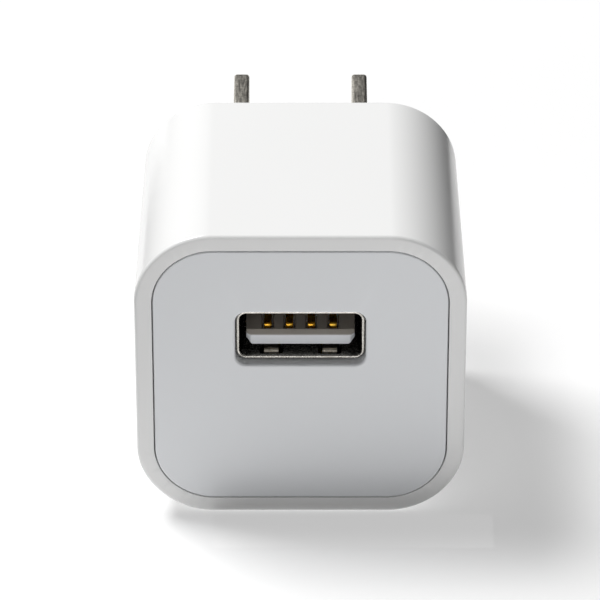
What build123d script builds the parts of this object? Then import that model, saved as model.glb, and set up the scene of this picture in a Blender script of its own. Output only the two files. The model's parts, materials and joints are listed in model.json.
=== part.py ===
from build123d import *
import os
from math import cos, hypot, sin, radians

os.makedirs("parts", exist_ok=True)

# A cube-shaped USB wall charger with a folding two-blade plug.
# Millimetres.  +Z is up, +Y points into the wall, the front with the USB port faces -Y.
# The origin is the centre of the flat rear face, the one that lies against the wall plate.

# ---- driving dimensions -------------------------------------------------------------
FRONT_SIZE = 33.8        # side of the square front face
REAR_SIZE = 32.9         # side of the square rear face, smaller by the mould's draft
DEPTH = 27.7             # front face to rear face
CORNER_RADIUS = 8.1      # upright edges of the body
FRONT_ROUND = 0.4        # small round at the front rim
REAR_ROUND = 1.1         # round at the rear edge
REAR_WALL = 2.0
COVER_SIZE = 30.0        # inset front cover
COVER_RADIUS = 6.15
COVER_THICK = 1.8
COVER_GAP = 0.12         # parting groove, each side
SHELF = 0.55             # ledge that the cover sits on

BLADE_SPACING = 12.7     # type A plug
BLADE_THICK = 1.65       # the thickest that a socket takes
BLADE_WIDTH = 6.35
BLADE_LENGTH = 16.0      # out of the rear face when unfolded
BLADE_HOLE_RADIUS = 1.6
BLADE_HOLE_FROM_FACE = 11.7
PIVOT_Z = 7.8            # hinge axis of the plug above the body's centre
PIVOT_DEPTH = 3.6        # hinge axis inside the rear face
BARREL_RADIUS = 3.4
TRUNNION_RADIUS = 1.6
RUNNING_GAP = 0.05       # trunnion in its bearing, radial
SWING_GAP = 0.25         # around everything that swings

PORT_Z = 4.4             # centre of the USB port above the body's centre
PORT_WIDTH = 13.1        # outside of the metal shell
PORT_HEIGHT = 5.7
PORT_WALL = 0.3
PORT_INSET = 1.0         # shell's mouth behind the front face
TONGUE_WIDTH = 11.1
TONGUE_HEIGHT = 1.84
CONTACT_PITCH = 2.23
CONTACT_NAMES = ["power", "data_minus", "data_plus", "ground"]

BOARD_FRONT = -12.6      # the circuit board stands parallel to the front face
BOARD_THICK = 1.0

# ---- worked out from them -------------------------------------------------------------
CONTACT_PLACES = {name: (place - 1.5) * CONTACT_PITCH for place, name in enumerate(CONTACT_NAMES)}
BOARD_REAR = BOARD_FRONT + BOARD_THICK
COVER_REAR = COVER_THICK - DEPTH
PIVOT_Y = -PIVOT_DEPTH
BLADE_X = BLADE_SPACING / 2
PORT_FRONT = PORT_INSET - DEPTH
CAVITY_FRONT = COVER_SIZE + 2 * COVER_GAP - 2 * SHELF
CAVITY_REAR = CAVITY_FRONT - 0.5
CAVITY_RADIUS = COVER_RADIUS + COVER_GAP - SHELF
BARREL_HALF = BLADE_X + 2.85
CHAMBER_HALF = BARREL_HALF + 0.2
CHAMBER_RADIUS = BARREL_RADIUS + 0.2
CHEEK_OUT = CHAMBER_HALF + 2.4
SLOT_WIDTH = BLADE_THICK + 2 * SWING_GAP
SLOT_DEPTH = PIVOT_DEPTH + BLADE_WIDTH / 2 + SWING_GAP
SLOT_LOW = PIVOT_Z - hypot(PIVOT_DEPTH + BLADE_LENGTH, 1.0) - SWING_GAP
TAIL_REACH = 4.2         # blade root behind the hinge axis, it meets the leaf contact
BRACKET_FRONT = PIVOT_Y - 5.1
BRACKET_REAR = PIVOT_Y - 3.9
SHEET_METAL = 0.25


# ---- small shapes used throughout -------------------------------------------------------
def at_depth(y):
    """Plane parallel to the front face at y, with its normal towards the front."""
    return Plane.XZ.offset(-y)


def slab(width, height, radius, y_rear, y_front, x=0.0, z=0.0):
    """A rounded rectangle from y_rear forward to y_front."""
    outline = at_depth(y_rear) * (Pos(x, z) * RectangleRounded(width, height, radius))
    return extrude(outline, amount=y_rear - y_front)


def block(x_low, x_high, y_low, y_high, z_low, z_high):
    centre = Pos((x_low + x_high) / 2, (y_low + y_high) / 2, (z_low + z_high) / 2)
    return centre * Box(x_high - x_low, y_high - y_low, z_high - z_low)


def rod_x(radius, x_low, x_high, y, z):
    """A round bar along X."""
    return Pos((x_low + x_high) / 2, y, z) * Rot(0, 90, 0) * Cylinder(radius, x_high - x_low)


def rod_y(radius, y_low, y_high, x, z):
    """A round bar along Y."""
    return Pos(x, (y_low + y_high) / 2, z) * Rot(90, 0, 0) * Cylinder(radius, y_high - y_low)


def strip(points, thickness, width, x=0.0):
    """Bent sheet metal: a line of (y, z) points, given a thickness, and a width along X."""
    profile = trace(FilletPolyline(*points, radius=0.25), thickness)
    return extrude(Plane.YZ.offset(x) * profile, amount=width / 2, both=True)


def both_sides(shape):
    return shape + mirror(shape, about=Plane.YZ)


def tapered(front_size, rear_size, front_radius, y_rear, y_front):
    """A rounded square that gets smaller towards the rear."""
    rear_radius = front_radius - (front_size - rear_size) / 2
    front = at_depth(y_front) * RectangleRounded(front_size, front_size, front_radius)
    rear = at_depth(y_rear) * RectangleRounded(rear_size, rear_size, rear_radius)
    return loft([rear, front])


# ---- case -------------------------------------------------------------------------------
def board_ribs():
    """Four ribs that the board's rear face rests on, one in the middle of each wall."""
    half = CAVITY_REAR / 2
    inward = half - 1.1
    ribs = both_sides(block(inward, half + 0.6, BOARD_REAR, -REAR_WALL / 2, -6.6, -5.2))
    for low, high in ((inward, half + 0.6), (-half - 0.6, -inward)):
        ribs += block(-0.7, 0.7, BOARD_REAR, -REAR_WALL / 2, low, high)
    return ribs


def plug_pocket_walls():
    """Inside the rear wall: a box round each blade slot, bearing cheeks, scoop floor."""
    wall = 0.9
    inner, outer = BLADE_X - SLOT_WIDTH / 2 - wall, BLADE_X + SLOT_WIDTH / 2 + wall
    root = -REAR_WALL / 2
    boxes = both_sides(
        block(inner, outer, -SLOT_DEPTH - wall, root, SLOT_LOW - wall, PIVOT_Z - 4.5)
        + block(inner, outer, BRACKET_REAR + 0.1, root, PIVOT_Z - 5, PIVOT_Z)
    )
    cheeks = both_sides(block(CHAMBER_HALF, CHEEK_OUT, BRACKET_REAR, root, PIVOT_Z - 4.4, PIVOT_Z + 4.4))
    scoop_floor = block(-outer, outer, -4.2, root, SLOT_LOW - wall, -4.6)
    return boxes + cheeks + scoop_floor


def plug_openings():
    """Blade slots, the barrel's chamber with its window, bearings and the nail scoop."""
    slot_top = PIVOT_Z + BLADE_WIDTH / 2 + SWING_GAP
    slot_height = slot_top - SLOT_LOW
    slot = slab(SLOT_WIDTH, slot_height, 0.5, 1.0, -SLOT_DEPTH, BLADE_X, slot_top - slot_height / 2)
    chamber = rod_x(CHAMBER_RADIUS, -CHAMBER_HALF, CHAMBER_HALF, PIVOT_Y, PIVOT_Z)
    chamber &= block(-20, 20, -20, -0.9, -20, 20)
    entry = block(-CHAMBER_HALF, CHAMBER_HALF, -12, PIVOT_Y, PIVOT_Z - CHAMBER_RADIUS, PIVOT_Z + CHAMBER_RADIUS)
    window = slab(2 * CHAMBER_HALF, 4.8, 0.8, 1.0, PIVOT_Y, 0, PIVOT_Z)
    bearing = TRUNNION_RADIUS + RUNNING_GAP
    bearings = both_sides(rod_x(bearing, CHAMBER_HALF - 0.1, CHEEK_OUT - 0.4, PIVOT_Y, PIVOT_Z))
    throats = both_sides(
        block(CHAMBER_HALF - 0.1, CHEEK_OUT - 0.4, -12, PIVOT_Y, PIVOT_Z - bearing, PIVOT_Z + bearing)
    )
    scoop = rod_x(5.2, -8.6, 8.6, 2.9, -8.6)
    scoop = fillet(scoop.edges(), 1.5)
    return both_sides(slot) + chamber + entry + window + bearings + throats + scoop


def stake_places():
    return [(side * (CHAMBER_HALF + 1.2), PIVOT_Z + up) for side in (-1, 1) for up in (-3.2, 3.2)]


def housing_shell():
    body = tapered(FRONT_SIZE, REAR_SIZE, CORNER_RADIUS, 0, -DEPTH)
    body = fillet(body.faces().sort_by(Axis.Y)[-1].edges(), REAR_ROUND)
    body = fillet(body.faces().sort_by(Axis.Y)[0].edges(), FRONT_ROUND)
    body -= tapered(CAVITY_FRONT, CAVITY_REAR, CAVITY_RADIUS, -REAR_WALL, -DEPTH - 1)
    seat = COVER_SIZE + 2 * COVER_GAP
    body -= slab(seat, seat, COVER_RADIUS + COVER_GAP, COVER_REAR, -DEPTH - 1)
    body += board_ribs()
    body += plug_pocket_walls()
    body -= plug_openings()
    for x, z in stake_places():
        body += rod_y(0.6, BRACKET_FRONT, BRACKET_REAR + 0.5, x, z)
        body += rod_y(0.95, BRACKET_FRONT - 0.35, BRACKET_FRONT, x, z)
    return body


def front_cover():
    plate = slab(COVER_SIZE, COVER_SIZE, COVER_RADIUS, COVER_REAR, -DEPTH)
    plate = fillet(plate.faces().sort_by(Axis.Y)[0].edges(), 0.15)
    lip_size = CAVITY_FRONT - 0.3
    lip_radius = CAVITY_RADIUS - 0.15
    lip = slab(lip_size, lip_size, lip_radius, COVER_REAR + 2.2, COVER_REAR)
    lip -= slab(lip_size - 2, lip_size - 2, lip_radius - 1, COVER_REAR + 3, COVER_REAR - 1)
    collar = slab(PORT_WIDTH + 2.6, PORT_HEIGHT + 2.6, 1.8, COVER_REAR + 1.5, COVER_REAR, 0, PORT_Z)
    legs = both_sides(block(12.9, 14.0, COVER_REAR, BOARD_FRONT - 0.05, -9.4, -7.2))
    hole_width = PORT_WIDTH + 0.2
    hole_height = PORT_HEIGHT + 0.3
    cover = plate + lip + collar + legs
    cover -= slab(hole_width, hole_height, 0.9, -20, -DEPTH - 1, 0, PORT_Z)
    rim = cover.faces().sort_by(Axis.Y)[0].inner_wires()[0].edges()
    return fillet(rim, 0.3)


# ---- USB port ---------------------------------------------------------------------------
def shell_finger(side, upward):
    """A spring finger with the window round it: its free end is near the mouth."""
    surface = upward * (PORT_HEIGHT - PORT_WALL) / 2
    tip, root = PORT_FRONT + 0.62, PORT_FRONT + 6.4
    line = [
        (root, PORT_Z + surface),
        (PORT_FRONT + 4.6, PORT_Z + surface),
        (PORT_FRONT + 2.6, PORT_Z + surface - upward * 0.42),
        (PORT_FRONT + 1.5, PORT_Z + surface - upward * 0.1),
        (tip, PORT_Z + surface + upward * 0.05),
    ]
    finger = strip(line, SHEET_METAL, 1.5, side * 3.0)
    low, high = PORT_Z + surface - 0.6, PORT_Z + surface + 0.6
    centre = side * 3.0
    head = block(centre - 1.2, centre + 1.2, PORT_FRONT + 0.22, PORT_FRONT + 1.7, low, high)
    slits = block(centre - 0.95, centre + 0.95, PORT_FRONT + 1.5, root - 0.2, low, high)
    return finger, head + slits


def usb_shell():
    rear = BOARD_FRONT - 0.05
    shell = slab(PORT_WIDTH, PORT_HEIGHT, 0.8, rear, PORT_FRONT, 0, PORT_Z)
    shell -= slab(
        PORT_WIDTH - 2 * PORT_WALL, PORT_HEIGHT - 2 * PORT_WALL, 0.5, rear + 1, PORT_FRONT - 1, 0, PORT_Z
    )
    shell = fillet(shell.faces().sort_by(Axis.Y)[0].edges(), 0.12)
    for side in (-1, 1):
        for upward in (-1, 1):
            finger, window = shell_finger(side, upward)
            shell = shell - window + finger
    for x, z in peg_places():
        shell += block(x - 0.15, x + 0.15, rear - 2, BOARD_REAR - 0.1, z - 0.7, z + 0.7)
    return shell


def peg_places():
    """Four solder pegs of the metal shell that go through the board."""
    x = (PORT_WIDTH - PORT_WALL) / 2
    return [(side * x, PORT_Z + up) for side in (-1, 1) for up in (-1.6, 1.6)]


def tongue_top():
    return PORT_Z - 0.05


def usb_insulator():
    base_front, base_rear = BOARD_FRONT - 4.2, BOARD_FRONT - 0.1
    tip = PORT_FRONT + 1.4
    top = tongue_top()
    base = slab(PORT_WIDTH - 0.7, PORT_HEIGHT - 0.7, 0.4, base_rear, base_front, 0, PORT_Z)
    half = TONGUE_WIDTH / 2
    tongue = block(-half, half, tip, base_front + 0.5, top - TONGUE_HEIGHT, top)
    lower = tongue.edges().filter_by(Axis.Y).sort_by(Axis.Z)[:2]
    tongue = chamfer(lower, 0.55)
    nose = tongue.faces().sort_by(Axis.Y)[0].edges().sort_by(Axis.Z)
    upright = [edge for edge in nose if edge % 0.5 == Vector(0, 0, 1) or edge % 0.5 == Vector(0, 0, -1)]
    tongue = chamfer([nose[-1], *upright], 0.45)
    insulator = base + tongue
    for x in CONTACT_PLACES.values():
        insulator -= block(x - 0.575, x + 0.575, tip + 0.62, base_front, top - 0.75, top + 1)
        insulator -= block(x - 0.42, x + 0.42, base_front - 1, base_rear + 1, top - 0.75, top - 0.25)
    return insulator


def usb_contact(x):
    """A sprung contact lying in its groove, its crown above the tongue."""
    top = tongue_top()
    tip = PORT_FRONT + 1.4
    line = [
        (tip + 0.75, top - 0.42),
        (tip + 1.5, top - 0.08),
        (tip + 2.6, top + 0.22),
        (tip + 4.2, top + 0.05),
        (BOARD_FRONT - 4.8, top - 0.5),
        (BOARD_FRONT - 0.6, top - 0.5),
    ]
    contact = strip(line, 0.2, 0.8, x)
    contact += block(x - 0.25, x + 0.25, BOARD_FRONT - 0.7, BOARD_REAR + 0.8, top - 0.6, top - 0.4)
    return contact


# ---- folding plug -----------------------------------------------------------------------
def blade(side):
    """A flat plug blade: a round root on the hinge axis, a contact tail, a rounded tip."""
    half = BLADE_WIDTH / 2
    reach = PIVOT_DEPTH + BLADE_LENGTH
    outline = Pos(reach / 2, 0) * Rectangle(reach, BLADE_WIDTH)
    outline = fillet(outline.vertices().sort_by(Axis.X)[-2:], 1.5)
    outline += Circle(half)
    outline += Pos(-TAIL_REACH / 2, 0) * RectangleRounded(TAIL_REACH, 2.4, 0.8)
    outline += Pos(-0.6, 0) * Rectangle(2.4, 2.4)
    outline -= Pos(PIVOT_DEPTH + BLADE_HOLE_FROM_FACE, 0) * Circle(BLADE_HOLE_RADIUS)
    body = extrude(Plane.YZ * outline, amount=BLADE_THICK / 2, both=True)
    tip_edges = body.edges().filter_by(lambda e: e.center().Y > reach - 1.0 and abs(e.center().X) > 0.1)
    body = fillet(tip_edges, 0.45)
    return Pos(side * BLADE_X, PIVOT_Y, PIVOT_Z) * body


def blade_carrier(blades):
    """The moulded barrel that holds both blades and turns on two trunnions."""
    barrel = rod_x(BARREL_RADIUS, -BARREL_HALF, BARREL_HALF, PIVOT_Y, PIVOT_Z)
    trunnion_end = CHEEK_OUT - 0.6
    barrel += rod_x(TRUNNION_RADIUS, -trunnion_end, trunnion_end, PIVOT_Y, PIVOT_Z)
    for angle in (180, 270):
        y = PIVOT_Y + (BARREL_RADIUS + 0.5) * cos(radians(angle))
        z = PIVOT_Z + (BARREL_RADIUS + 0.5) * sin(radians(angle))
        barrel -= rod_x(0.9, -2.5, 2.5, y, z)
    for one in blades:
        barrel -= one
    return barrel


def plug_bracket():
    """Closes the bearings from inside and holds the detent spring."""
    out = CHEEK_OUT - 0.1
    plate = block(-out, out, BRACKET_FRONT, BRACKET_REAR, PIVOT_Z - 4.3, PIVOT_Z + 4.3)
    plate = fillet(plate.edges().filter_by(Axis.Y), 0.8)
    lug_in, lug_out = CHAMBER_HALF + 0.15, CHEEK_OUT - 0.55
    half = TRUNNION_RADIUS - 0.05
    plate += both_sides(block(lug_in, lug_out, BRACKET_FRONT, PIVOT_Y - 0.1, PIVOT_Z - half, PIVOT_Z + half))
    plate -= rod_x(TRUNNION_RADIUS + RUNNING_GAP, -out - 1, out + 1, PIVOT_Y, PIVOT_Z)
    plate -= both_sides(block(BLADE_X - 1.4, BLADE_X + 1.4, -20, 0, PIVOT_Z - 2.6, PIVOT_Z + 2.6))
    for x, z in stake_places():
        plate -= rod_y(0.62, -20, 0, x, z)
    return plate


def detent_spring():
    """A bowed steel strip whose crest drops into the barrel's two grooves."""
    crest = PIVOT_Y - BARREL_RADIUS - 0.22
    foot = BRACKET_REAR + 0.14
    rising = [(foot, PIVOT_Z - 3.6), (foot, PIVOT_Z - 2.9)]
    falling = [(foot, PIVOT_Z + 2.9), (foot, PIVOT_Z + 3.6)]
    return strip([*rising, (crest, PIVOT_Z), *falling], SHEET_METAL, 4.0)


def leaf_contact(side):
    """Sprung strip from the board to the tail of a blade."""
    touch = PIVOT_Y - TAIL_REACH - 0.12 - SHEET_METAL / 2
    foot = BOARD_REAR + 0.14
    line = [
        (foot, PIVOT_Z - 5.8),
        (foot, PIVOT_Z - 3.7),
        (touch - 1.2, PIVOT_Z - 2.6),
        (touch, PIVOT_Z - 0.8),
        (touch, PIVOT_Z + 0.5),
        (touch - 0.8, PIVOT_Z + 1.7),
    ]
    return strip(line, SHEET_METAL, 2.0, side * BLADE_X)


# ---- electronics --------------------------------------------------------------------------
INPUT_CAPACITORS = [(-10.3, 10.3), (10.3, 10.3)]
OUTPUT_CAPACITORS = [(-9.7, -9.7), (9.7, -9.7)]
FUSIBLE_RESISTOR = (-10.6, -3.0)
INPUT_CHOKE = (10.6, -3.0)
Y_CAPACITOR = (-10.6, 3.3)
TRANSFORMER_Z = -6.6
LEAD_RADIUS = 0.28
CORE_WIDTH = 10.2
CORE_DEPTH = 4.8
CORE_LEG = 1.5
CORE_REAR = BOARD_FRONT - 0.9
CORE_HALF = 5.4


def lead_places():
    """Every round lead that goes through the board, as (x, z)."""
    places = []
    for x, z in INPUT_CAPACITORS + OUTPUT_CAPACITORS:
        places += [(x - 1.25, z), (x + 1.25, z)]
    places += [(x, TRANSFORMER_Z + z) for x in (-2.6, 2.6) for z in (-3.9, 3.9)]
    disc_x, disc_z = Y_CAPACITOR
    places += [(disc_x, disc_z - 2.3), (disc_x, disc_z + 2.3)]
    for x, z in (FUSIBLE_RESISTOR, INPUT_CHOKE):
        places += [(x - 1.4, z), (x + 1.4, z)]
    return places


def lead(x, z, y_front):
    return rod_y(LEAD_RADIUS, y_front, BOARD_REAR + 0.6, x, z)


def main_board():
    board = slab(28.2, 28.2, 5.2, BOARD_REAR, BOARD_FRONT)
    for x, z in lead_places():
        board -= rod_y(LEAD_RADIUS + 0.05, -20, 0, x, z)
    for x, z in peg_places():
        board -= block(x - 0.25, x + 0.25, -20, 0, z - 0.8, z + 0.8)
    for x in CONTACT_PLACES.values():
        board -= rod_y(0.42, -20, 0, x, tongue_top() - 0.5)
    return board


def electrolytic(x, z, radius, height):
    """An aluminium can with its crimped waist and scored top, on two leads."""
    base = BOARD_FRONT - 0.25
    can = rod_y(radius, base - height, base, x, z)
    can = fillet(can.edges(), 0.35)
    waist = rod_y(radius + 1, base - 2.0, base - 1.4, x, z) - rod_y(radius - 0.25, base - 3, base, x, z)
    can -= waist
    can -= rod_y(radius - 0.7, base - height - 1, base - height + 0.15, x, z)
    return can + lead(x - 1.25, z, base - 0.5) + lead(x + 1.25, z, base - 0.5)


def core_half(rear):
    """One E of the transformer's ferrite core, rear is True for the one at the board."""
    middle = CORE_REAR - CORE_HALF
    low, high = (middle, CORE_REAR) if rear else (middle - CORE_HALF, middle)
    z_low, z_high = TRANSFORMER_Z - CORE_DEPTH / 2, TRANSFORMER_Z + CORE_DEPTH / 2
    half = CORE_WIDTH / 2
    core = block(-half, half, low, high, z_low, z_high)
    window_low, window_high = (low - 1, high - CORE_LEG) if rear else (low + CORE_LEG, high + 1)
    core -= both_sides(block(1.25, half - CORE_LEG, window_low, window_high, z_low - 1, z_high + 1))
    return core


def transformer_bobbin():
    front, rear = CORE_REAR - 2 * CORE_HALF + CORE_LEG + 0.1, CORE_REAR - CORE_LEG - 0.1
    bobbin = slab(4.0, 6.6, 0.8, rear, front, 0, TRANSFORMER_Z)
    for y in (rear, front + 0.6):
        bobbin += slab(6.9, 9.4, 0.6, y, y - 0.6, 0, TRANSFORMER_Z)
    for side in (-1, 1):
        centre = TRANSFORMER_Z + side * 3.75
        bobbin += block(-3.45, 3.45, rear - 0.3, BOARD_FRONT - 0.1, centre - 0.95, centre + 0.95)
    bobbin -= block(-1.35, 1.35, -40, 0, TRANSFORMER_Z - 2.5, TRANSFORMER_Z + 2.5)
    for x in (-2.6, 2.6):
        for up in (-3.9, 3.9):
            bobbin += lead(x, TRANSFORMER_Z + up, rear - 0.2)
    return bobbin


def transformer_winding():
    front, rear = CORE_REAR - 2 * CORE_HALF + CORE_LEG + 0.8, CORE_REAR - CORE_LEG - 0.8
    coil = slab(6.6, 8.9, 1.6, rear, front, 0, TRANSFORMER_Z)
    return coil - slab(4.1, 6.7, 0.8, rear + 1, front - 1, 0, TRANSFORMER_Z)


def fusible_resistor():
    """Stands on end, its upper lead bent back down to the board."""
    x, z = FUSIBLE_RESISTOR
    body_x, return_x = x - 1.4, x + 1.4
    base = BOARD_FRONT - 0.8
    body = fillet(rod_y(1.25, base - 6.0, base, body_x, z).edges(), 0.4)
    body += lead(body_x, z, base - 7.0)
    body += lead(return_x, z, base - 7.0)
    body += rod_x(LEAD_RADIUS, body_x, return_x, base - 7.0, z)
    for x in (body_x, return_x):
        body += Pos(x, base - 7.0, z) * Sphere(LEAD_RADIUS)
    return body


def input_choke():
    """A drum core with its winding, on two leads."""
    x, z = INPUT_CHOKE
    base = BOARD_FRONT - 0.5
    drum = rod_y(2.5, base - 1.0, base, x, z) + rod_y(2.5, base - 7.0, base - 6.0, x, z)
    drum += rod_y(2.15, base - 6.5, base - 0.5, x, z)
    return drum + lead(x - 1.4, z, base - 0.5) + lead(x + 1.4, z, base - 0.5)


def y_capacitor():
    """A coated ceramic disc across the safety gap."""
    x, z = Y_CAPACITOR
    centre = BOARD_FRONT - 5.2
    disc = fillet(rod_x(3.2, x - 1.3, x + 1.3, centre, z).edges(), 0.9)
    return disc + lead(x, z - 2.3, centre) + lead(x, z + 2.3, centre)


def flat_chip(x, z, width, height, tall, legs):
    """A moulded package on the board's rear face, with rows of legs on two sides."""
    floor = BOARD_REAR + 0.12
    body = block(x - width / 2, x + width / 2, floor, floor + tall, z - height / 2, z + height / 2)
    body = chamfer(body.faces().sort_by(Axis.Y)[-1].edges(), 0.2)
    pitch = width / legs
    for number in range(legs):
        centre = x + (number - (legs - 1) / 2) * pitch
        leg = block(centre - pitch / 5, centre + pitch / 5, BOARD_REAR + 0.02, floor + 0.3,
                    z - height / 2 - 0.7, z + height / 2 + 0.7)
        body += leg
    return body


def chip_row(places, length, width, tall):
    parts = Part()
    for x, z in places:
        floor = BOARD_REAR + 0.02
        parts += block(x - length / 2, x + length / 2, floor, floor + tall, z - width / 2, z + width / 2)
    return parts


def insulation_sheet():
    """Film between the live side of the board and the plug pocket."""
    rear = BRACKET_FRONT - 0.55
    sheet = slab(26.4, 26.4, 4.4, rear, rear - 0.25)
    sheet -= both_sides(block(BLADE_X - 1.5, BLADE_X + 1.5, -20, 0, PIVOT_Z - 5, PIVOT_Z + 2.5))
    sheet -= both_sides(block(11.9, 15, -20, 0, -7.1, -4.7))
    for side in (-1, 1):
        sheet -= block(-1.2, 1.2, -20, 0, side * 14 - 1.5, side * 14 + 1.5)
    return sheet


# ---- write one file per piece ---------------------------------------------------------------
blades = {"blade_left": blade(-1), "blade_right": blade(1)}
pieces = {
    "housing_shell": housing_shell(),
    "front_cover": front_cover(),
    "usb_shell": usb_shell(),
    "usb_insulator": usb_insulator(),
    **{"usb_contact_" + name: usb_contact(x) for name, x in CONTACT_PLACES.items()},
    **blades,
    "blade_carrier": blade_carrier(blades.values()),
    "plug_bracket": plug_bracket(),
    "detent_spring": detent_spring(),
    "leaf_contact_left": leaf_contact(-1),
    "leaf_contact_right": leaf_contact(1),
    "main_board": main_board(),
    "transformer_core_rear": core_half(True),
    "transformer_core_front": core_half(False),
    "transformer_bobbin": transformer_bobbin(),
    "transformer_winding": transformer_winding(),
    "input_capacitor_left": electrolytic(*INPUT_CAPACITORS[0], 3.15, 10.5),
    "input_capacitor_right": electrolytic(*INPUT_CAPACITORS[1], 3.15, 10.5),
    "output_capacitor_left": electrolytic(*OUTPUT_CAPACITORS[0], 3.15, 9.0),
    "output_capacitor_right": electrolytic(*OUTPUT_CAPACITORS[1], 3.15, 9.0),
    "fusible_resistor": fusible_resistor(),
    "input_choke": input_choke(),
    "y_capacitor": y_capacitor(),
    "controller_chip": flat_chip(0, -6.6, 4.9, 3.9, 1.3, 4),
    "bridge_rectifier": flat_chip(0, 8.6, 4.8, 3.6, 1.3, 2),
    "output_diode": flat_chip(-5.6, -9.2, 3.8, 3.4, 1.4, 1),
    "chip_resistors": chip_row([(5.0, -1.6), (5.0, -3.4), (-5.0, -1.6), (-5.0, -4.6)], 2.0, 1.2, 0.55),
    "chip_capacitors": chip_row([(5.2, -9.6), (0, -11.4), (5.0, -5.6)], 2.0, 1.25, 0.9),
    "insulation_sheet": insulation_sheet(),
}
for name, shape in pieces.items():
    export_step(shape, f"parts/{name}.step")
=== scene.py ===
import json
from math import copysign, cos, hypot, pi, radians, sin

import bmesh
import bpy
from mathutils import Matrix, Vector


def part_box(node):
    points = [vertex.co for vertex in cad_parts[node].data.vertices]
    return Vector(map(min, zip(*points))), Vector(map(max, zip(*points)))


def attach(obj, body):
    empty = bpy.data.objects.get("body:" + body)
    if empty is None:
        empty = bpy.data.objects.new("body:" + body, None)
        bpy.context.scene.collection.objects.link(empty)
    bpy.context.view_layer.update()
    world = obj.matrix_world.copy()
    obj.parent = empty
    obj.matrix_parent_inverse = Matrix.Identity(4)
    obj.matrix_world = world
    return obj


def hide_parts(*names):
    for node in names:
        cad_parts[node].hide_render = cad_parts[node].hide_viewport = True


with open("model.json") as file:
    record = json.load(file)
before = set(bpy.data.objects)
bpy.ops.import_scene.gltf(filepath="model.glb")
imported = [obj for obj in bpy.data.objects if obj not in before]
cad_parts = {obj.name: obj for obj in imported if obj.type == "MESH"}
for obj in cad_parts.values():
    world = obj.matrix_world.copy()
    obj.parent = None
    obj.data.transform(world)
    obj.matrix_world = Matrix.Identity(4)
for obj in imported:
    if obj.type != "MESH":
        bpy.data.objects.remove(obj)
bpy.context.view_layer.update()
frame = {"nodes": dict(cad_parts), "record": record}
mm = 0.001


# The case is one deep cup of glossy white ABS, open at the front for the cover.
# It is moulded with a little draft, so the rear is smaller than the front, and its
# rear wall holds the pocket that the plug folds into.
def rounded_loop(bm, width, height, radius, y, z=0.0, x=0.0, steps=20):
    """A rounded rectangle at depth y: a circle with its four quarters moved apart."""
    turn = Matrix.Rotation(pi / 2, 4, "X") @ Matrix.Rotation(pi / (4 * steps), 4, "Z")
    made = bmesh.ops.create_circle(bm, segments=4 * steps, radius=radius, matrix=turn)
    for vert in made["verts"]:
        vert.co.x += copysign(width / 2 - radius, vert.co.x) + x
        vert.co.z += copysign(height / 2 - radius, vert.co.z) + z
        vert.co.y = y
    return list(dict.fromkeys(edge for vert in made["verts"] for edge in vert.link_edges))


def join_loops(bm, loops, closed=False):
    """Lays faces from each loop to the next; the ends are capped, or joined to each other."""
    for near, far in zip(loops, loops[1:] + loops[:1] * closed):
        if abs(near[0].verts[0].co.y - far[0].verts[0].co.y) < 1e-4:
            bmesh.ops.triangle_fill(bm, use_beauty=True, edges=near + far)
        else:
            bmesh.ops.bridge_loops(bm, edges=near + far)
    if not closed:
        bmesh.ops.edgeloop_fill(bm, edges=loops[0])
        bmesh.ops.edgeloop_fill(bm, edges=loops[-1])
    bmesh.ops.recalc_face_normals(bm, faces=bm.faces)


def block(bm, low, high):
    """A plain block between two corners, given in millimetres."""
    low, high = Vector(low), Vector(high)
    place = Matrix.Translation((low + high) / 2) @ Matrix.Diagonal((*(high - low), 1))
    return bmesh.ops.create_cube(bm, size=1, matrix=place)["verts"]


def bar_x(bm, radius, x_low, x_high, y, z, segments=64):
    """A round bar along X, sizes in millimetres."""
    place = Matrix.Translation(Vector(((x_low + x_high) / 2, y, z))) @ Matrix.Rotation(pi / 2, 4, "Y")
    return bmesh.ops.create_cone(
        bm, cap_ends=True, segments=segments, radius1=radius, radius2=radius,
        depth=(x_high - x_low), matrix=place,
    )["verts"]


def as_object(bm, name):
    """Turns finished millimetre work into an object in metres, facing outwards."""
    bmesh.ops.scale(bm, verts=bm.verts, vec=(mm, mm, mm))
    if bm.calc_volume(signed=True) < 0:
        bmesh.ops.reverse_faces(bm, faces=bm.faces)
    mesh = bpy.data.meshes.new(name)
    bm.to_mesh(mesh)
    bm.free()
    made = bpy.data.objects.new(name, mesh)
    bpy.context.scene.collection.objects.link(made)
    return made


def settle(piece):
    """Applies a piece's modifiers to its mesh."""
    graph = bpy.context.evaluated_depsgraph_get()
    mesh = bpy.data.meshes.new_from_object(piece.evaluated_get(graph))
    piece.modifiers.clear()
    piece.data = mesh


def boolean(piece, tool_bm, operation="DIFFERENCE"):
    """Cuts a piece with a tool, or adds the tool to it."""
    tool = as_object(tool_bm, "tool")
    step = piece.modifiers.new(operation.lower(), "BOOLEAN")
    step.operation, step.object, step.solver = operation, tool, "MANIFOLD"
    settle(piece)
    bpy.data.objects.remove(tool)


def soften(piece, width, sharp=35, segments=2):
    """Breaks the crisp edges, and shades flat faces flat and round ones round."""
    if width:
        edge = piece.modifiers.new("edge_break", "BEVEL")
        edge.width, edge.segments = width * mm, segments
        edge.limit_method, edge.angle_limit = "ANGLE", radians(sharp)
        settle(piece)
    piece.data.shade_smooth()
    piece.data.set_sharp_from_angle(angle=radians(sharp))
    even = piece.modifiers.new("even_shading", "WEIGHTED_NORMAL")
    even.keep_sharp, even.weight = True, 60
    settle(piece)


def stand_for(piece, body, slot, material, *nodes):
    """Finishes a piece: its material, its body, and the CAD nodes that it replaces, which it hides; the
    slot is not used.
    """
    piece.data.materials.clear()
    piece.data.materials.append(material)
    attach(piece, body)
    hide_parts(*nodes)


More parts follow.
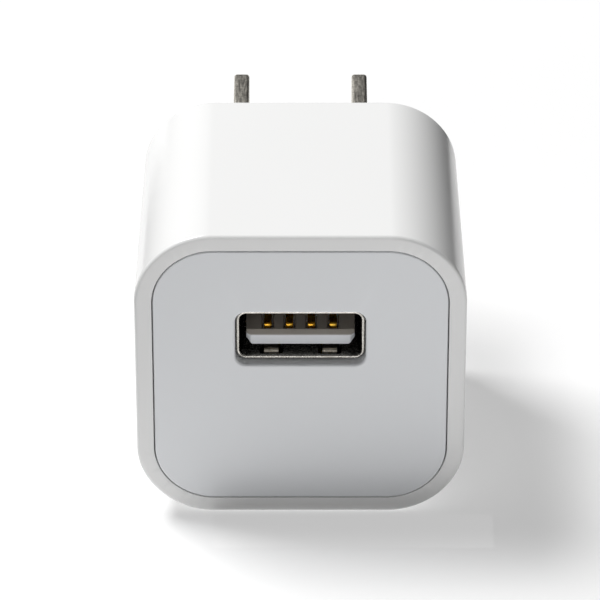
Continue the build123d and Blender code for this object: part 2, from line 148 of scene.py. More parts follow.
def shader(name):
    """A new material: its nodes, links and Principled shader, and coordinates to pattern it by."""
    material = bpy.data.materials.new(name)
    material.use_nodes = True
    nodes = material.node_tree.nodes
    place = nodes.new("ShaderNodeTexCoord").outputs["Object"]
    return material, nodes, material.node_tree.links, nodes["Principled BSDF"], place


def noise(nodes, links, place, scale, detail=3.0, rough=0.5):
    """A cloudy pattern, finer as the scale rises."""
    texture = nodes.new("ShaderNodeTexNoise")
    texture.inputs["Scale"].default_value = scale
    texture.inputs["Detail"].default_value = detail
    texture.inputs["Roughness"].default_value = rough
    links.new(place, texture.inputs["Vector"])
    return texture.outputs["Fac"]


def spread(nodes, links, factor, low, high, start=0.3, end=0.7):
    """Maps a pattern to values between low and high."""
    mapped = nodes.new("ShaderNodeMapRange")
    for socket, value in (("From Min", start), ("From Max", end), ("To Min", low), ("To Max", high)):
        mapped.inputs[socket].default_value = value
    links.new(factor, mapped.inputs["Value"])
    return mapped.outputs["Result"]


def tint(nodes, links, factor, first, second):
    """Blends two colours by a pattern."""
    ramp = nodes.new("ShaderNodeValToRGB")
    ramp.color_ramp.elements[0].position, ramp.color_ramp.elements[1].position = 0.3, 0.7
    ramp.color_ramp.elements[0].color = (*first, 1)
    ramp.color_ramp.elements[1].color = (*second, 1)
    links.new(factor, ramp.inputs["Fac"])
    return ramp.outputs["Color"]


def bump(nodes, links, shine, height, strength, distance):
    """Raises the surface's shading by a pattern; the distance is in metres."""
    lift = nodes.new("ShaderNodeBump")
    lift.inputs["Strength"].default_value = strength
    lift.inputs["Distance"].default_value = distance
    links.new(height, lift.inputs["Height"])
    links.new(lift.outputs["Normal"], shine.inputs["Normal"])


def moulded_white(name, first, second, roughness):
    """Polished white moulding: faint flow marks, a very fine orange peel, slight haze."""
    material, nodes, links, shine, place = shader(name)
    flow = noise(nodes, links, place, 45, detail=1)
    links.new(tint(nodes, links, flow, first, second), shine.inputs["Base Color"])
    haze = noise(nodes, links, place, 260, detail=2)
    links.new(spread(nodes, links, haze, roughness - 0.012, roughness + 0.015), shine.inputs["Roughness"])
    shine.inputs["IOR"].default_value = 1.5
    peel = noise(nodes, links, place, 2600, detail=2)
    bump(nodes, links, shine, peel, 0.06, 0.00001)
    return material


# Sizes of the case and of the plug's room in it, in millimetres.
case_low, case_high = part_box("housing_shell")
cover_low, cover_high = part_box("front_cover")
barrel_low, barrel_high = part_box("blade_carrier")
blade_low, blade_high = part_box("blade_right")
depth = -case_low.y / mm
front_size = (case_high.x - case_low.x) / mm
draft = 0.45                    # the rear is this much smaller on every side
corner = 8.1
rear_wall = 2.0
cover_size = (cover_high.x - cover_low.x) / mm
cover_corner = 6.15
cover_thick = 1.8
groove = 0.12
pivot_y = (barrel_low.y + barrel_high.y) / 2 / mm
pivot_z = (barrel_low.z + barrel_high.z) / 2 / mm
barrel_half = 9.2
blade_x = (blade_low.x + blade_high.x) / 2 / mm


def case_loops(bm):
    """From the floor of the cup, out over the rim, and back along the outside."""
    loops = []

    def ring(inset, y):
        across = front_size - 2 * inset
        loops.append(rounded_loop(bm, across, across, (corner - inset), y))

    seat = front_size / 2 - cover_size / 2 - groove
    ledge, cup_draft, lead_in = 0.55, 0.25, 0.09
    ring(seat + ledge + cup_draft, -rear_wall)
    ring(seat + ledge, cover_thick - depth)
    ring(seat, cover_thick - depth)
    ring(seat, lead_in - depth)
    ring(seat - lead_in / 3, lead_in / 3 - depth)
    ring(seat - lead_in, -depth)
    rim_round, rim_steps = 0.4, 7
    for step in range(rim_steps + 1):
        angle = step / rim_steps * pi / 2
        ring(rim_round * (1 - sin(angle)), rim_round * (1 - cos(angle)) - depth)
    rear_round, rear_steps = 0.6, 10
    side_steps = 6
    for step in range(1, side_steps):
        y = -depth + step * depth / side_steps
        ring(draft * (y + depth) / depth, y)
    for step in range(rear_steps + 1):
        angle = step / rear_steps * pi / 2
        ring(draft + rear_round * (1 - cos(angle)), rear_round * (sin(angle) - 1))
    return loops


bm = bmesh.new()
join_loops(bm, case_loops(bm))
case = as_object(bm, "case_shell")

# Walls round the two slots, a cheek at each end of the barrel, and a floor for the nail scoop.
swing = 0.25                    # room round what turns
blade_half = 3.175
blade_reach, tip_half = 19.6, 1.0
blade_thick = (blade_high.x - blade_low.x) / mm
slot_width = blade_thick + 2 * swing
slot_top = pivot_z + blade_half + swing
slot_low = pivot_z - hypot(blade_reach, tip_half) - swing
slot_deep = -pivot_y + blade_half + swing
chamber = barrel_half + 0.2
cheek = chamber + 2.4
cheek_half = 4.4
wall = 0.9

bm = bmesh.new()
for side in (-1, 1):
    reach = slot_width / 2 + wall
    near, far = sorted((side * (blade_x - reach), side * (blade_x + reach)))
    block(bm, (near, -slot_deep - wall, slot_low - wall), (far, -1, pivot_z - 4.5))
    near, far = sorted((side * chamber, side * cheek))
    block(bm, (near, pivot_y - 3.9, pivot_z - cheek_half), (far, -1, pivot_z + cheek_half))
boolean(case, bm, "UNION")
bm = bmesh.new()
block(bm, (-7.9, -4.2, slot_low - wall), (7.9, -1.02, -4.6))
boolean(case, bm, "UNION")

# The slots and the barrel's opening, each with a small flare at the rear face.
for side in (-1, 1):
    middle, height = (slot_top + slot_low) / 2, slot_top - slot_low
    flares = [(0.0, -slot_deep), (0.0, -0.22), (0.07, -0.07), (0.22, 0.0), (0.22, 1.0)]
    bm = bmesh.new()
    join_loops(bm, [
        rounded_loop(bm, (slot_width + 2 * out), (height + 2 * out), (0.5 + out),
                     y, middle, side * blade_x, steps=6)
        for out, y in flares
    ])
    boolean(case, bm)
bm = bmesh.new()
flares = [(0.0, pivot_y), (0.0, -0.3), (0.08, -0.08), (0.3, 0.0), (0.3, 1.0)]
join_loops(bm, [
    rounded_loop(bm, (2 * chamber + 2 * out), (4.8 + 2 * out), (0.8 + out),
                 y, pivot_z, steps=8)
    for out, y in flares
])
boolean(case, bm)

# Room for the barrel to turn in, then the bearings for its trunnions.
barrel_room, trunnion_room = 3.6, 1.65
bearing = cheek - 0.4
bm = bmesh.new()
bar_x(bm, barrel_room, -chamber, chamber, pivot_y, pivot_z, segments=96)
cut = bmesh.ops.bisect_plane(
    bm, geom=bm.verts[:] + bm.edges[:] + bm.faces[:], plane_co=(0, -0.9, 0),
    plane_no=(0, 1, 0), clear_outer=True,
)
bmesh.ops.edgenet_fill(bm, edges=[e for e in cut["geom_cut"] if isinstance(e, bmesh.types.BMEdge)])
boolean(case, bm)
bm = bmesh.new()
block(bm, (-chamber, -12, pivot_z - barrel_room), (chamber, pivot_y, pivot_z + barrel_room))
boolean(case, bm)
bm = bmesh.new()
bar_x(bm, trunnion_room, -bearing, bearing, pivot_y, pivot_z)
boolean(case, bm)
bm = bmesh.new()
block(bm, (-bearing, -12, pivot_z - trunnion_room), (bearing, pivot_y, pivot_z + trunnion_room))
boolean(case, bm)

# The nail scoop is a shallow hollow across both slots, near the folded blades' tips.
scoop_radius, scoop_half = 5.2, 8.6
bm = bmesh.new()
bar_x(bm, scoop_radius, -scoop_half, scoop_half, 2.9, -8.6, segments=160)
ends = [edge for edge in bm.edges if len({round(v.co.x, 2) for v in edge.verts}) == 1]
bmesh.ops.bevel(
    bm, geom=ends, offset=1.5, offset_type="OFFSET", segments=8, profile=0.5,
    affect="EDGES", material=-1,
)
boolean(case, bm)
soften(case, 0)
stand_for(
    case, "charger", "case_plastic",
    moulded_white("case_white", (0.885, 0.885, 0.88), (0.895, 0.895, 0.89), 0.2), "housing_shell",
)


# The cover is a flat white plate set flush into the front, with a hairline groove
# round it. A lip behind it locates it in the cup, a collar steadies the port's shell,
# and two legs hold the board against its ribs.
port_low, port_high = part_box("usb_shell")
port_front = port_low.y / mm
port_z = 4.4                    # the middle of the port, above the middle of the case
port_width, port_height = (port_high.x - port_low.x) / mm, 5.7
hole_width, hole_height = port_width + 0.2, port_height + 0.3
lip = cover_size - 1.16
lip_back = cover_thick - depth + 2.2

bm = bmesh.new()
face = -depth
back = cover_thick - depth
edge_round, edge_steps = 0.12, 4
hole_round, hole_steps = 0.3, 7
hole_corner = 1.15
outline = [(cover_size, cover_size, cover_corner, back, 0)]
for step in range(edge_steps + 1):
    angle = step / edge_steps * pi / 2
    inset = edge_round * (1 - cos(angle))
    size = cover_size - 2 * inset
    outline.append((size, size, cover_corner - inset, face + edge_round * (1 - sin(angle)), 0))
mouth = []
above = 0.3                     # the hole clears the shell by this much more above it
for step in range(hole_steps + 1):
    angle = step / hole_steps * pi / 2
    out = hole_round * (1 - sin(angle))
    y = face + hole_round * (1 - cos(angle))
    mouth.append((
        hole_width + 2 * out, hole_height + above + 2 * out, hole_corner + out, y, port_z + above / 2,
    ))
pad_width, pad_height, pad_corner = port_width + 2.6, port_height + 2.6, 2.1
collar_back = back + 1.5
collar = [
    (hole_width, hole_height, hole_corner, collar_back, port_z),
    (pad_width, pad_height, pad_corner, collar_back, port_z),
    (pad_width, pad_height, pad_corner, back, port_z),
]
inner, inner_corner, lip_corner = lip - 2, 4.6, 5.6
rim = [
    (inner, inner, inner_corner, back, 0), (inner, inner, inner_corner, lip_back, 0),
    (lip, lip, lip_corner, lip_back, 0), (lip, lip, lip_corner, back, 0),
]
outline += mouth + collar + rim
join_loops(bm, [rounded_loop(bm, *sizes) for sizes in outline], closed=True)
cover = as_object(bm, "cover_plate")

# Two legs hold the board against the case's ribs.
leg_inner, leg_outer, leg_low, leg_high = 12.9, 14.0, -9.4, -7.2
bm = bmesh.new()
for side in (-1, 1):
    near, far = sorted((side * leg_inner, side * leg_outer))
    block(bm, (near, back - 0.5, leg_low), (far, cover_high.y / mm, leg_high))
boolean(cover, bm, "UNION")

# Under and over the port's spring fingers the plate is relieved, so that they can flex.
finger_x = 3.0
relief_half, relief_start, relief_end = 1.35, face + 1.32, back + 2.0
inward, outward = hole_height / 2 - 0.1, hole_height / 2 + 2.2
bm = bmesh.new()
for side in (-1, 1):
    left, right = side * finger_x - relief_half, side * finger_x + relief_half
    block(bm, (left, relief_start, port_z - outward), (right, relief_end, port_z - inward))
    block(bm, (left, relief_start, port_z + inward), (right, relief_end, port_z + outward))
boolean(cover, bm)
soften(cover, 0)
stand_for(
    cover, "charger", "cover_plastic",
    moulded_white("cover_white", (0.84, 0.855, 0.875), (0.85, 0.865, 0.885), 0.24), "front_cover",
)


# The port's shell is folded from 0.3 mm nickel-plated steel. Its mouth is rounded, and
# windows in its floor and roof take four spring fingers, which are a piece of their own.
def depth_shade(nodes, links, place, colour, axis, start, end, first, last):
    """Paints shade: multiplies a colour by a value that changes from one place on an axis to another."""
    apart = nodes.new("ShaderNodeSeparateXYZ")
    links.new(place, apart.inputs["Vector"])
    shade = nodes.new("ShaderNodeValToRGB")
    shade.color_ramp.elements[0].color = (*first, 1)
    shade.color_ramp.elements[1].color = (*last, 1)
    along_axis = spread(nodes, links, apart.outputs[axis], 0.0, 1.0, start * mm, end * mm)
    links.new(along_axis, shade.inputs["Fac"])
    product = nodes.new("ShaderNodeVectorMath")
    product.operation = "MULTIPLY"
    links.new(colour, product.inputs[0])
    links.new(shade.outputs["Color"], product.inputs[1])
    return product.outputs["Vector"]


def plated(name, first, second, roughness, scale, painted_shade_from, painted_shade_to, painted_shade_level):
    """Nickel plate with a fine mottle and handling marks, and painted shade that darkens it from a depth
    inwards.
    """
    material, nodes, links, shine, place = shader(name)
    shine.inputs["Metallic"].default_value = 1.0
    mottle = noise(nodes, links, place, scale, detail=5, rough=0.65)
    colour = tint(nodes, links, mottle, first, second)
    # Painted shade: from a depth into the port onwards the colour is darkened, standing in for shadow.
    colour = depth_shade(
        nodes, links, place, colour, "Y", port_front + painted_shade_from, port_front + painted_shade_to,
        (1, 1, 1), (painted_shade_level, painted_shade_level, painted_shade_level),
    )
    links.new(colour, shine.inputs["Base Color"])
    marks = noise(nodes, links, place, scale * 2.2, detail=4)
    links.new(spread(nodes, links, marks, roughness - 0.08, roughness + 0.12), shine.inputs["Roughness"])
    bump(nodes, links, shine, mottle, 0.25, 0.00003)
    return material


def bent_strip(bm, path, width, thickness, x):
    """A strip of sheet: the (y, z) path with its corners rounded, made wide along X, then thick."""
    corner_steps, bend = 5, 0.3
    points = [Vector((x, y, z)) for y, z in path]
    line = [points[0]]
    for before, here, after in zip(points, points[1:], points[2:]):
        start = here + (before - here).normalized() * min(bend, (before - here).length / 2.2)
        end = here + (after - here).normalized() * min(bend, (after - here).length / 2.2)
        for step in range(corner_steps + 1):
            t = step / corner_steps
            line.append((1 - t) ** 2 * start + 2 * t * (1 - t) * here + t ** 2 * end)
    line.append(points[-1])
    row = [bm.verts.new((p - Vector((width / 2, 0, 0)))) for p in line]
    edges = [bm.edges.new(pair) for pair in zip(row, row[1:])]
    grown = bmesh.ops.extrude_edge_only(bm, edges=edges)["geom"]
    across = [v for v in grown if isinstance(v, bmesh.types.BMVert)]
    bmesh.ops.translate(bm, verts=across, vec=(width, 0, 0))
    faces = [f for f in grown if isinstance(f, bmesh.types.BMFace)]
    bmesh.ops.solidify(bm, geom=faces, thickness=thickness)


sheet = 0.3


def shell_loops(bm):
    """The shell's section: outside, round the mouth, and back along the inside."""
    rear, shell_corner = -12.65, 1.05
    loops = [rounded_loop(bm, port_width, port_height, shell_corner, rear, port_z)]
    mouth_steps = 8
    for step in range(mouth_steps + 1):
        angle = step / mouth_steps * pi
        inset = sheet / 2 * (1 - cos(angle))
        y = port_front + sheet / 2 * (1 - sin(angle))
        loops.append(rounded_loop(
            bm, (port_width - 2 * inset), (port_height - 2 * inset),
            shell_corner - inset, y, port_z,
        ))
    loops.append(rounded_loop(
        bm, port_width - 2 * sheet, port_height - 2 * sheet, shell_corner - sheet, rear, port_z,
    ))
    return loops


def window_tool(x, across, length, y, z):
    """A rounded slot through the floor or roof of the shell, standing along Z."""
    window_corner, half_tall = 0.3, 0.7
    bm = bmesh.new()
    join_loops(bm, [
        rounded_loop(bm, across, length, window_corner, rise, steps=5) for rise in (-half_tall, half_tall)
    ])
    bmesh.ops.rotate(bm, verts=bm.verts, cent=(0, 0, 0), matrix=Matrix.Rotation(pi / 2, 3, "X"))
    bmesh.ops.translate(bm, verts=bm.verts, vec=(x, y, z))
    return bm


# Each finger has a wide window for its tip and a narrower one behind it: width, start, end.
finger_windows = ((2.4, 0.48, 2.05), (1.9, 1.8, 6.2))
bm = bmesh.new()
join_loops(bm, shell_loops(bm), closed=True)
shell = as_object(bm, "port_shell")
for upward in (-1, 1):
    level = port_z + upward * (port_height - sheet) / 2
    for side in (-1, 1):
        for across, near, far in finger_windows:
            middle = port_front + (near + far) / 2
            boolean(shell, window_tool(side * finger_x, across, far - near, middle, level))
soften(shell, 0.03, sharp=40)
stand_for(
    shell, "charger", "port_metal",
    # Past its mouth the shell's inside is given painted shade, darker than bare nickel, standing in for
    # the port's shadowed inside.
    plated(
        "port_nickel", (0.60, 0.57, 0.52), (0.88, 0.85, 0.79), roughness=0.27, scale=2200,
        painted_shade_from=0.03, painted_shade_to=0.26, painted_shade_level=0.24,
    ), "usb_shell",
)


# Four spring fingers of thinner plated steel grip a plug's shell. Each runs forward from
# its root, dips into the port, and ends in a raised tip in its window.
finger_wide, finger_thick = 1.5, 0.22
bm = bmesh.new()
for upward in (-1, 1):
    level = port_z + upward * (port_height - sheet) / 2
    for side in (-1, 1):
        finger_path = [
            (port_front + 6.4, level), (port_front + 4.8, level),
            (port_front + 2.75, level - upward * 0.42), (port_front + 1.7, level - upward * 0.1),
            (port_front + 0.82, level + upward * 0.06),
        ]
        bent_strip(bm, finger_path, finger_wide, finger_thick, side * finger_x)
bmesh.ops.recalc_face_normals(bm, faces=bm.faces)
springs = as_object(bm, "port_springs")
soften(springs, 0.04, sharp=40)
stand_for(
    springs, "charger", "port_metal",
    # Behind their raised tips the fingers are given painted shade, standing in for the tongue's shadow on
    # them.
    plated(
        "spring_nickel", (0.68, 0.61, 0.50), (0.92, 0.84, 0.72), roughness=0.32, scale=2200,
        painted_shade_from=1.32, painted_shade_to=1.42, painted_shade_level=0.1,
    ), "usb_shell",
)


# The tongue and its base are one moulding of white engineering plastic. Its nose is
# chamfered to guide a plug in, and a groove with an open window holds each contact.
tongue_top = port_z - 0.35
tongue_tip = port_front + 1.25
tongue_half = 5.55
tongue_low = port_z - 1.89
base_front, base_rear, base_corner = -16.8, -12.7, 0.4
base_width, base_height = 12.4, 5.0
groove_half, groove_deep = 0.61, 0.95
contact_pitch = 2.23
contact_places = [(place - 1.5) * contact_pitch for place in range(4)]


def along(edge, axis):
    """True for an edge that runs along X (0), Y (1) or Z (2)."""
    run = (edge.verts[0].co - edge.verts[1].co).normalized()
    return abs(run[axis]) > 0.99


def bevel(bm, edges, offset, segments=1):
    """Chamfers edges, or rounds them when it has more segments."""
    bmesh.ops.bevel(
        bm, geom=edges, offset=offset, offset_type="OFFSET", segments=segments, profile=0.5,
        affect="EDGES", material=-1,
    )


bm = bmesh.new()
block(bm, (-tongue_half, tongue_tip, tongue_low), (tongue_half, base_front + 0.5, tongue_top))
low_edges = [e for e in bm.edges if along(e, 1) and e.verts[0].co.z < (tongue_low + 0.1)]
bevel(bm, low_edges, 0.6)
nose = [
    e for e in bm.edges
    if all(v.co.y < (tongue_tip + 0.01) for v in e.verts)
    and (e.verts[0].co.z + e.verts[1].co.z) / 2 > tongue_low + 0.7
]
bevel(bm, nose, 0.45)
tongue = as_object(bm, "port_tongue")
bm = bmesh.new()
join_loops(bm, [
    rounded_loop(bm, base_width, base_height, base_corner, y, port_z, steps=6)
    for y in (base_front, base_rear)
])
boolean(tongue, bm, "UNION")
bm = bmesh.new()
for x in contact_places:
    block(
        bm, (x - groove_half, tongue_tip + 0.6, tongue_top - groove_deep),
        (x + groove_half, base_front, tongue_top + 1),
    )
boolean(tongue, bm)
soften(tongue, 0.07, segments=3)


def moulded_tongue():
    """White engineering plastic, satin, with a faint bloom; its chamfer and top carry painted shade,
    tinted warm as a painted reflection of the metal round them.
    """
    material, nodes, links, shine, place = shader("tongue_white")
    bloom = noise(nodes, links, place, 600, detail=4)
    white = tint(nodes, links, bloom, (0.86, 0.88, 0.91), (0.90, 0.92, 0.95))
    # Painted shade and painted reflection: the chamfer and top are darkened and warmed, standing in for
    # the shell's shadow and the metal's warm reflection.
    painted_shade_and_reflection = depth_shade(
        nodes, links, place, white, "Z", tongue_top - 0.5, tongue_top - 0.36,
        (1, 1, 1), (0.47, 0.42, 0.36),
    )
    links.new(painted_shade_and_reflection, shine.inputs["Base Color"])
    links.new(spread(nodes, links, bloom, 0.38, 0.5), shine.inputs["Roughness"])
    bump(nodes, links, shine, noise(nodes, links, place, 5000), 0.15, 0.00002)
    return material


stand_for(tongue, "charger", "port_plastic", moulded_tongue(), "usb_insulator")


# Four gold-flashed bronze strips lie in the grooves, bowed so that their crowns press
# on the plug's contacts. Their tips dip back into the open windows.
def gold_flash():
    """Thin gold over nickel, a little uneven."""
    material, nodes, links, shine, place = shader("contact_gold")
    shine.inputs["Metallic"].default_value = 1.0
    wear = noise(nodes, links, place, 1800, detail=4)
    links.new(tint(nodes, links, wear, (0.92, 0.42, 0.03), (1.0, 0.62, 0.08)), shine.inputs["Base Color"])
    links.new(spread(nodes, links, wear, 0.22, 0.36), shine.inputs["Roughness"])
    bump(nodes, links, shine, wear, 0.2, 0.00002)
    return material


gold = gold_flash()
contact_path = [
    (tongue_tip + 1.6, tongue_top - 0.65), (tongue_tip + 1.78, tongue_top - 0.14),
    (tongue_tip + 3.2, tongue_top + 0.2), (tongue_tip + 4.4, tongue_top + 0.05),
    (-17.4, tongue_top - 0.5), (-13.2, tongue_top - 0.5),
]
contact_wide, contact_thick = 0.74, 0.18
for name, x in zip(("power", "data_minus", "data_plus", "ground"), contact_places):
    bm = bmesh.new()
    bent_strip(bm, contact_path, contact_wide, contact_thick, x)
    bmesh.ops.recalc_face_normals(bm, faces=bm.faces)
    contact = as_object(bm, "port_contact_" + name)
    soften(contact, 0.03)
    stand_for(contact, "charger", "contact_gold", gold, "usb_contact_" + name)


# The two blades are stamped from 1.65 mm brass strip and nickel plated. Their tips are
# rounded so that they find the slots of a socket, and each has the usual round hole.
# A short tail at the root meets a contact inside the case.
blade_tip = blade_high.y / mm
hole_y, hole_radius = 11.7, 1.6
tail_reach, tail_half = 4.2, 1.2


def blade_bm(x):
    """One blade without its hole and tail: a round root, and an outline rounded all along."""
    bm = bmesh.new()
    block(
        bm, (x - blade_thick / 2, pivot_y - blade_half, pivot_z - blade_half),
        (x + blade_thick / 2, blade_tip, pivot_z + blade_half),
    )
    tips = [e for e in bm.edges if along(e, 0) and e.verts[0].co.y > 0]
    roots = [e for e in bm.edges if along(e, 0) and e.verts[0].co.y < 0]
    bevel(bm, roots, blade_half - 0.01, segments=16)
    bevel(bm, tips, 1.5, segments=12)
    outline = [e for e in bm.edges if e.calc_face_angle(0) > radians(60)]
    bevel(bm, outline, 0.32, segments=5)
    return bm


def brushed_nickel(name):
    """Dull nickel over stamped brass, mottled, with faint marks along its length."""
    material, nodes, links, shine, place = shader(name)
    shine.inputs["Metallic"].default_value = 1.0
    stretch = nodes.new("ShaderNodeMapping")
    stretch.inputs["Scale"].default_value = (1, 0.12, 1)
    links.new(place, stretch.inputs["Vector"])
    mottle = noise(nodes, links, place, 3200, detail=4, rough=0.6)
    drawn = noise(nodes, links, stretch.outputs["Vector"], 6000, detail=3)
    colour = tint(nodes, links, mottle, (0.56, 0.53, 0.47), (0.98, 0.94, 0.85))
    links.new(colour, shine.inputs["Base Color"])
    links.new(spread(nodes, links, drawn, 0.30, 0.46), shine.inputs["Roughness"])
    bump(nodes, links, shine, drawn, 0.12, 0.00003)
    return material


nickel = brushed_nickel("blade_nickel")
for side, word in ((-1, "left"), (1, "right")):
    x = side * blade_x
    blade = as_object(blade_bm(x), "plug_blade_" + word)
    bm = bmesh.new()
    bar_x(bm, hole_radius, x - 2, x + 2, hole_y, pivot_z, segments=48)
    boolean(blade, bm)
    bm = bmesh.new()
    block(
        bm, (x - blade_thick / 2, pivot_y - tail_reach, pivot_z - tail_half),
        (x + blade_thick / 2, pivot_y, pivot_z + tail_half),
    )
    boolean(blade, bm, "UNION")
    soften(blade, 0.1)
    stand_for(blade, "folding_plug", "blade_nickel", nickel, "blade_" + word)


# The barrel is a white moulding cast round both blade roots, so that they fold
# together. It turns on two short trunnions and has two grooves for the detent.
barrel_radius, trunnion_radius = 3.4, 1.6
detent_radius, detent_half, detent_at = 0.9, 2.5, 3.9
bm = bmesh.new()
bar_x(bm, barrel_radius, -barrel_half, barrel_half, pivot_y, pivot_z, segments=96)
rims = [edge for edge in bm.edges if len({round(v.co.x, 2) for v in edge.verts}) == 1]
bevel(bm, rims, 0.25, segments=4)
barrel = as_object(bm, "plug_barrel")
bm = bmesh.new()
bar_x(bm, trunnion_radius, -cheek + 0.6, cheek - 0.6, pivot_y, pivot_z)
boolean(barrel, bm, "UNION")
bm = bmesh.new()
bar_x(bm, detent_radius, -detent_half, detent_half, pivot_y - detent_at, pivot_z, segments=32)
bar_x(bm, detent_radius, -detent_half, detent_half, pivot_y, pivot_z - detent_at, segments=32)
boolean(barrel, bm)
bm = bmesh.new()
for side in (-1, 1):
    x = side * blade_x
    block(
        bm, (x - blade_thick / 2, pivot_y - 5, pivot_z - blade_half),
        (x + blade_thick / 2, 5, pivot_z + blade_half),
    )
boolean(barrel, bm)
soften(barrel, 0)
stand_for(
    barrel, "folding_plug", "carrier_plastic",
    moulded_white("barrel_white", (0.80, 0.80, 0.79), (0.84, 0.84, 0.83), 0.34), "blade_carrier",
)


# Everything inside keeps its shape and gets the finish of its own stuff:
# laminate, ferrite, tape, shrink sleeve, lacquer, epoxy, spring strip and film.
def plain_stuff(name, first, second, roughness, scale, metal=0.0, height=0.2):
    """A finish with a fine grain in its colour, gloss and surface."""
    material, nodes, links, shine, place = shader(name)
    shine.inputs["Metallic"].default_value = metal
    grain = noise(nodes, links, place, scale, detail=5, rough=0.6)
    links.new(tint(nodes, links, grain, first, second), shine.inputs["Base Color"])
    links.new(spread(nodes, links, grain, roughness - 0.06, roughness + 0.08), shine.inputs["Roughness"])
    bump(nodes, links, shine, grain, height, 0.00005)
    return material


def laminate():
    """Green solder resist over woven glass."""
    material, nodes, links, shine, place = shader("board_green")
    weave = nodes.new("ShaderNodeTexWave")
    weave.inputs["Scale"].default_value = 900
    weave.inputs["Distortion"].default_value = 1.5
    links.new(place, weave.inputs["Vector"])
    cloth = weave.outputs["Fac"]
    colour = tint(nodes, links, cloth, (0.02, 0.16, 0.06), (0.03, 0.22, 0.09))
    links.new(colour, shine.inputs["Base Color"])
    links.new(spread(nodes, links, cloth, 0.3, 0.45), shine.inputs["Roughness"])
    bump(nodes, links, shine, cloth, 0.15, 0.00003)
    return material


def wound(name, first, second, turns):
    """Tape or wire in even turns along the winding's axis."""
    material, nodes, links, shine, place = shader(name)
    band = nodes.new("ShaderNodeTexWave")
    band.bands_direction = "Y"
    band.inputs["Scale"].default_value = turns
    band.inputs["Distortion"].default_value = 0.6
    links.new(place, band.inputs["Vector"])
    layers = band.outputs["Fac"]
    links.new(tint(nodes, links, layers, first, second), shine.inputs["Base Color"])
    links.new(spread(nodes, links, layers, 0.25, 0.4), shine.inputs["Roughness"])
    bump(nodes, links, shine, layers, 0.4, 0.0001)
    return material


finishes = {
    "carrier_plastic": moulded_white("bracket_white", (0.76, 0.76, 0.75), (0.80, 0.80, 0.79), 0.4),
    "spring_steel": plain_stuff(
        "spring_strip", (0.42, 0.42, 0.43), (0.60, 0.60, 0.61), 0.3, 1500, metal=1.0,
    ),
    "spring_bronze": plain_stuff(
        "bronze_strip", (0.50, 0.30, 0.16), (0.70, 0.46, 0.26), 0.3, 1500, metal=1.0,
    ),
    "board_laminate": laminate(),
    "ferrite": plain_stuff("ferrite", (0.03, 0.03, 0.035), (0.06, 0.06, 0.065), 0.6, 3000, height=0.5),
    "bobbin_plastic": plain_stuff("phenolic", (0.02, 0.02, 0.02), (0.035, 0.035, 0.035), 0.5, 1200),
    "winding_tape": wound("yellow_tape", (0.70, 0.52, 0.05), (0.80, 0.62, 0.09), 260),
    "capacitor_sleeve": plain_stuff("shrink_sleeve", (0.02, 0.03, 0.06), (0.03, 0.045, 0.09), 0.25, 700),
    "resistor_coating": plain_stuff("blue_lacquer", (0.16, 0.36, 0.46), (0.22, 0.44, 0.54), 0.4, 900),
    "choke_winding": wound("enamelled_wire", (0.26, 0.09, 0.03), (0.48, 0.20, 0.07), 420),
    "disc_coating": plain_stuff("blue_epoxy", (0.03, 0.12, 0.36), (0.05, 0.17, 0.44), 0.3, 800),
    "chip_moulding": plain_stuff("chip_epoxy", (0.015, 0.015, 0.017), (0.03, 0.03, 0.033), 0.55, 2600),
    "chip_ceramic": plain_stuff("chip_ceramic", (0.42, 0.35, 0.27), (0.52, 0.45, 0.36), 0.45, 1800),
    "insulation_film": plain_stuff("film", (0.62, 0.58, 0.46), (0.70, 0.66, 0.55), 0.5, 1000),
}
shown_slots = {row["node"]: row["material_slot"] for row in frame["record"]["subparts"]}
for node, cad in frame["nodes"].items():
    if cad.hide_render:
        continue
    cad.data.materials.clear()
    cad.data.materials.append(finishes[shown_slots[node]])


# A pale table of acrylic, lit faintly from within, that the charger stands on.
table_half = 1400
table_z = case_low.z / mm
bm = bmesh.new()
bmesh.ops.create_grid(
    bm, x_segments=1, y_segments=1, size=table_half, matrix=Matrix.Translation((0, 0, table_z)),
)
floor = as_object(bm, "floor")
table, nodes, links, shine, place = shader("table_acrylic")
shine.inputs["Base Color"].default_value = (0.55, 0.55, 0.55, 1)
shine.inputs["Roughness"].default_value = 0.8
shine.inputs["Emission Color"].default_value = (1, 1, 1, 1)
shine.inputs["Emission Strength"].default_value = 0.42
floor.data.materials.append(table)


# One large soft box above, behind and to the left, and a long low one in front to fill
# the face. Low black flags stand at both sides, unseen by the camera: they keep the
# table's light off the left side, and give the rounded right edge its dark reflection.
def softbox(name, place, width, height, power):
    """A rectangular lamp that faces the charger; sizes in metres, power in watts."""
    data = bpy.data.lights.new(name, "AREA")
    data.shape, data.size, data.size_y, data.energy = "RECTANGLE", width, height, power
    lamp = bpy.data.objects.new(name, data)
    lamp.location = place
    lamp.rotation_euler = (-Vector(place)).to_track_quat("-Z", "Y").to_euler()
    bpy.context.scene.collection.objects.link(lamp)


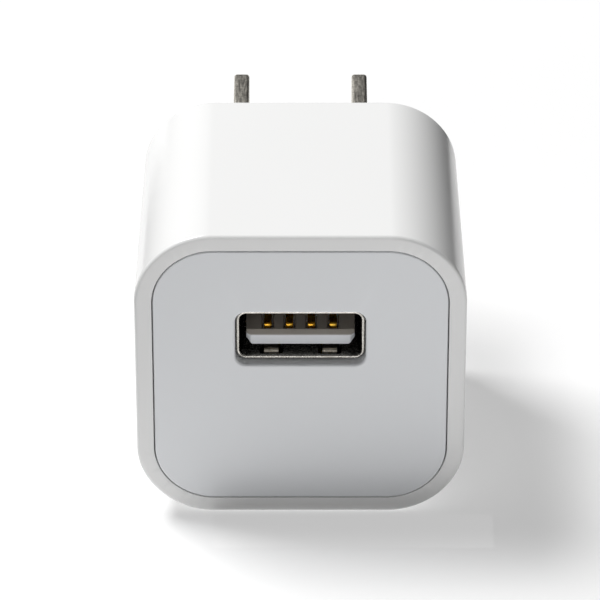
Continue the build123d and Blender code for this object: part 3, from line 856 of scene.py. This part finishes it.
softbox("key", (-0.50, 0.30, 0.95), 0.40, 0.40, 15.2)
softbox("face_fill", (-0.2, -1.15, 0.42), 0.8, 0.3, 3.0)

cloth, nodes, links, shine, place = shader("flag_black")
shine.inputs["Base Color"].default_value = (0.01, 0.01, 0.01, 1)
shine.inputs["Roughness"].default_value = 1.0
shine.inputs["Specular IOR Level"].default_value = 0.0
flag_height = 31
flags = {"flag_right": ((150, -10), (28, 92)), "flag_left": ((-52, -80), (-52, 60))}
for name, ends in flags.items():
    bm = bmesh.new()
    foot = [bm.verts.new((x, y, table_z)) for x, y in ends]
    risen = bmesh.ops.extrude_edge_only(bm, edges=[bm.edges.new(foot)])["geom"]
    lifted = [v for v in risen if isinstance(v, bmesh.types.BMVert)]
    bmesh.ops.translate(bm, verts=lifted, vec=(0, 0, flag_height))
    flag = as_object(bm, name)
    flag.visible_camera = flag.visible_shadow = False
    flag.data.materials.append(cloth)

# A grey strip on the table, close to the front, keeps light off the foot of the face.
strip_grey, nodes, links, shine, place = shader("strip_grey")
shine.inputs["Base Color"].default_value = (0.25, 0.25, 0.25, 1)
shine.inputs["Roughness"].default_value = 1.0
bm = bmesh.new()
block(bm, (-9, -depth - 6.5, table_z + 0.02), (20, -depth - 0.5, table_z + 0.1))
strip = as_object(bm, "strip")
strip.visible_camera = strip.visible_shadow = False
strip.data.materials.append(strip_grey)

world = bpy.data.worlds.new("studio")
world.use_nodes = True
world.node_tree.nodes["Background"].inputs["Color"].default_value = (1, 1, 1, 1)
world.node_tree.nodes["Background"].inputs["Strength"].default_value = 0.02
bpy.context.scene.world = world
bpy.context.scene.view_settings.view_transform = "Standard"


# The camera looks down a little at the front, from half a metre away.
pitch = radians(32.74)
distance = 0.5
aim = Vector((-0.05 * mm, case_low.y, 9.31 * mm))
lens = bpy.data.cameras.new("camera")
lens.sensor_width, lens.lens = 36, 296.3
camera = bpy.data.objects.new("camera", lens)
camera.location = aim + distance * Vector((0, -cos(pitch), sin(pitch)))
camera.rotation_euler = (pi / 2 - pitch, 0, 0)
bpy.context.scene.collection.objects.link(camera)
bpy.context.scene.camera = camera
